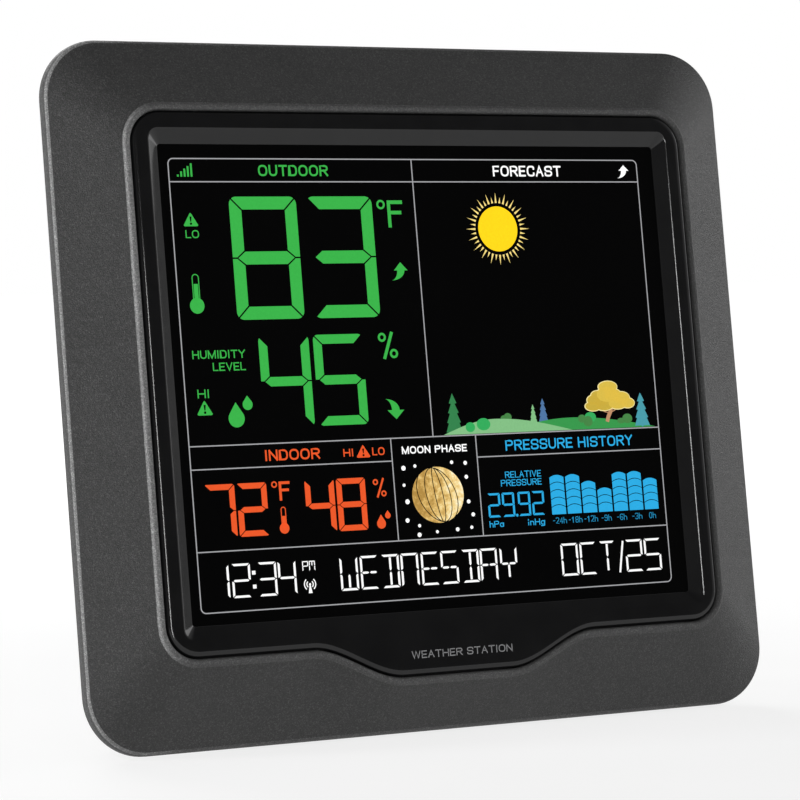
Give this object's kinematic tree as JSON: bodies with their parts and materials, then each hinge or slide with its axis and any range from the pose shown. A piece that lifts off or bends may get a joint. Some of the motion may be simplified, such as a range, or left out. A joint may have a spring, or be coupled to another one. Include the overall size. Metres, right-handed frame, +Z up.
{
  "type": "home weather station",
  "caption": "Desk weather station: wide sloped frame, glossy surround, segment display, rear case with battery bay, push buttons and a fold-out stand.",
  "frame": {"origin": "on the desk plane, under the middle of the overall box with the stand open: midway between the sides, and midway between the frame's front bottom edge and the back of the stand's pad", "axes": "+X to the object's right seen from the front, +Y to the back, +Z up; the front faces -Y and leans back 9.2 degrees"},
  "size_m": [0.188, 0.0598, 0.1656],
  "materials": {
    "grey_plastic": "fine textured dark grey",
    "gloss_black": "polished black",
    "clear_plastic": "clear polished",
    "lcd_glass": "polished glass",
    "dark_film": "smooth film",
    "white_film": "matt white film",
    "white_plastic": "moulded white",
    "connector_rubber": "striped silicone rubber",
    "board": "green solder mask",
    "chip_black": "moulded black",
    "can_steel": "tinned steel",
    "sensor_white": "white plastic",
    "black_wire": "black insulation",
    "red_wire": "red insulation",
    "ferrite": "dark sintered",
    "copper": "enamelled copper wire",
    "button_rubber": "satin black",
    "cell_jacket": "plain printed jacket",
    "contact_steel": "nickel plated",
    "foot_rubber": "matt black",
    "black_screw": "black oxide",
    "steel_screw": "zinc plated"
  },
  "bodies": {
    "case": {"front_frame": "grey_plastic", "rear_cover": "grey_plastic", "screen_surround": "gloss_black", "display_window": "clear_plastic", "light_guide": "clear_plastic", "lcd_front_glass": "lcd_glass", "lcd_rear_glass": "lcd_glass", "front_polariser": "dark_film", "rear_polariser": "dark_film", "diffuser_sheet": "white_film", "reflector_sheet": "white_film", "lcd_holder": "white_plastic", "backlight_led_bar": "white_plastic", "zebra_connector": "connector_rubber", "main_board": "board", "processor_chip": "chip_black", "piezo_buzzer": "chip_black", "dc_jack": "chip_black", "rf_receiver_module": "can_steel", "pressure_sensor": "can_steel", "tact_switch_1": "can_steel", "tact_switch_2": "can_steel", "tact_switch_3": "can_steel", "tact_switch_4": "can_steel", "tact_switch_5": "can_steel", "tact_switch_6": "can_steel", "humidity_sensor": "sensor_white", "antenna_wire": "black_wire", "battery_lead_black": "black_wire", "battery_lead_red": "red_wire", "ferrite_rod": "ferrite", "ferrite_coil": "copper", "battery_1": "cell_jacket", "battery_2": "cell_jacket", "battery_3": "cell_jacket", "battery_contact_1": "contact_steel", "battery_contact_2": "contact_steel", "battery_contact_3": "contact_steel", "battery_contact_4": "contact_steel", "foot_left": "foot_rubber", "foot_right": "foot_rubber", "case_screw_1": "black_screw", "case_screw_2": "black_screw", "case_screw_3": "black_screw", "case_screw_4": "black_screw", "board_screw_1": "steel_screw", "board_screw_2": "steel_screw", "board_screw_3": "steel_screw", "board_screw_4": "steel_screw"},
    "stand": {"stand_leg": "grey_plastic", "stand_pad": "foot_rubber"},
    "battery_door": {"battery_door": "grey_plastic"},
    "button_1": {"button_1": "button_rubber"},
    "button_2": {"button_2": "button_rubber"},
    "button_3": {"button_3": "button_rubber"},
    "button_4": {"button_4": "button_rubber"},
    "button_5": {"button_5": "button_rubber"},
    "button_6": {"button_6": "button_rubber"}
  },
  "joints": [
    {"name": "stand_hinge", "type": "hinge", "parent": "case", "child": "stand", "pos_m": [0, 0.00808, 0.07675], "axis": [1, 0, 0], "range_deg": [-23.7, 0]},
    {"name": "battery_door_lift", "type": "slide", "parent": "case", "child": "battery_door", "axis": [0, 0.9871, -0.1599], "range_m": [0, 0.02]},
    {"name": "button_1_press", "type": "slide", "parent": "case", "child": "button_1", "axis": [0, -0.9871, 0.1599], "range_m": [0, 0.0006]},
    {"name": "button_2_press", "type": "slide", "parent": "case", "child": "button_2", "axis": [0, -0.9871, 0.1599], "range_m": [0, 0.0006]},
    {"name": "button_3_press", "type": "slide", "parent": "case", "child": "button_3", "axis": [0, -0.9871, 0.1599], "range_m": [0, 0.0006]},
    {"name": "button_4_press", "type": "slide", "parent": "case", "child": "button_4", "axis": [0, -0.9871, 0.1599], "range_m": [0, 0.0006]},
    {"name": "button_5_press", "type": "slide", "parent": "case", "child": "button_5", "axis": [0, -0.9871, 0.1599], "range_m": [0, 0.0006]},
    {"name": "button_6_press", "type": "slide", "parent": "case", "child": "button_6", "axis": [0, -0.9871, 0.1599], "range_m": [0, 0.0006]}
  ]
}
